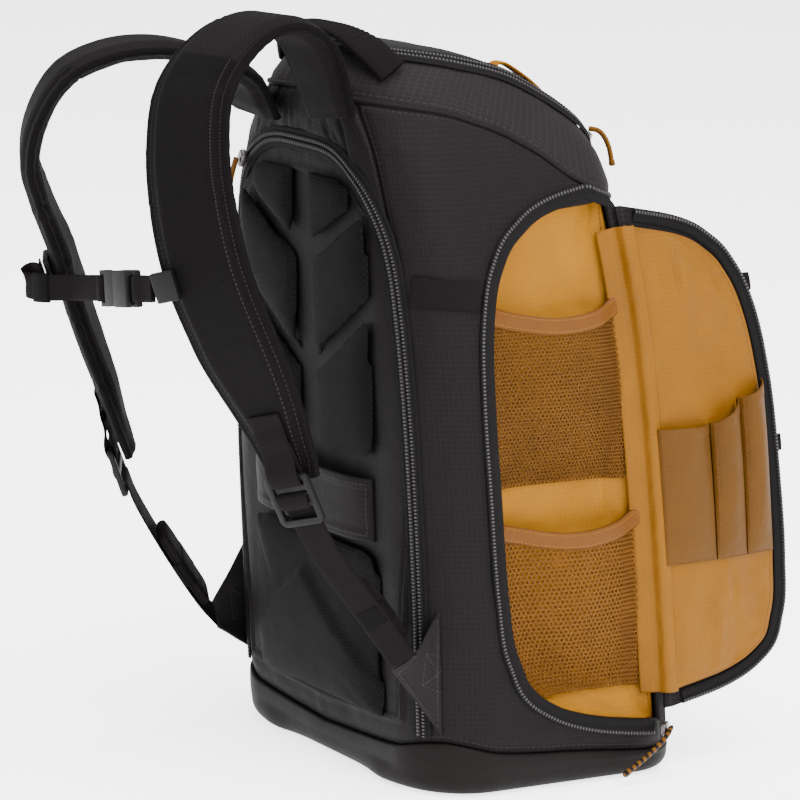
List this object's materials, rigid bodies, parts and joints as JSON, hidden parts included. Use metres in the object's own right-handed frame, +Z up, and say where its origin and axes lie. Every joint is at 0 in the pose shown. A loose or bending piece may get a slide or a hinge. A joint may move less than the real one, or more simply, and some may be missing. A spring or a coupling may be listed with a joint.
{
  "type": "camera backpack",
  "caption": "Black ripstop camera backpack with a zipped rear door, an open tan-lined side pocket and padded shoulder straps.",
  "frame": {"origin": "centre of the flat underside of the moulded base", "axes": "+Z up; X across the wearer's back with the open side pocket on +X; the shoulder straps face -Y and the front faces +Y"},
  "size_m": [0.3302, 0.5103, 0.5367],
  "materials": {
    "black_ripstop": "matte black ripstop nylon",
    "charcoal_ripstop": "matte charcoal ripstop nylon",
    "moulded_base": "moulded black foam with a fine grain",
    "coil_zip": "black coil zip on coated tape",
    "air_mesh": "black padded air mesh",
    "webbing": "black ribbed webbing",
    "black_plastic": "black acetal with a soft sheen",
    "tan_lining": "thin golden tan lining",
    "tan_mesh": "golden tan open mesh",
    "tan_binding": "golden tan stitched binding",
    "gold_cord": "gold and black woven cord",
    "dark_metal": "dark coated metal"
  },
  "bodies": {
    "root": {"front_panel": "black_ripstop", "side_panel_right": "black_ripstop", "side_panel_left": "black_ripstop", "rear_yoke": "black_ripstop", "rear_door": "black_ripstop", "base_boot": "moulded_base", "top_band": "charcoal_ripstop", "top_lid": "black_ripstop", "rear_zip": "coil_zip", "top_zip": "coil_zip", "back_pad_right_upper": "air_mesh", "back_pad_right_middle": "air_mesh", "back_pad_right_lower": "air_mesh", "back_pad_left_upper": "air_mesh", "back_pad_left_middle": "air_mesh", "back_pad_left_lower": "air_mesh", "trolley_band": "black_ripstop", "lumbar_pad": "air_mesh", "pocket_liner": "tan_lining", "net_pocket_upper": "tan_mesh", "net_binding_upper": "tan_binding", "net_pocket_lower": "tan_mesh", "net_binding_lower": "tan_binding", "pocket_zip": "coil_zip", "side_flap": "black_ripstop", "flap_lining": "tan_lining", "flap_pocket_slip": "tan_lining", "flap_pocket_pen_inner": "tan_lining", "flap_pocket_pen_outer": "tan_lining", "flap_zip": "coil_zip", "flap_tab_upper": "webbing", "flap_tab_lower": "webbing", "shoulder_strap_right": "black_ripstop", "strap_buckle_right": "black_plastic", "strap_tab_right": "webbing", "adjuster_webbing_right": "webbing", "webbing_tail_right": "webbing", "corner_tab_right": "webbing", "shoulder_strap_left": "black_ripstop", "strap_buckle_left": "black_plastic", "strap_tab_left": "webbing", "adjuster_webbing_left": "webbing", "webbing_tail_left": "webbing", "corner_tab_left": "webbing", "sternum_clip_right": "black_plastic", "sternum_clip_left": "black_plastic", "sternum_buckle_female": "black_plastic", "sternum_buckle_male": "black_plastic", "sternum_webbing_right": "webbing", "sternum_webbing_left": "webbing", "grab_handle": "webbing", "side_webbing_right": "webbing", "side_webbing_left": "webbing", "rear_slider": "dark_metal", "rear_pull": "gold_cord", "top_slider": "dark_metal", "top_pull": "gold_cord", "pocket_slider": "dark_metal", "pocket_pull": "gold_cord", "lid_tab": "gold_cord"}
  },
  "joints": []
}
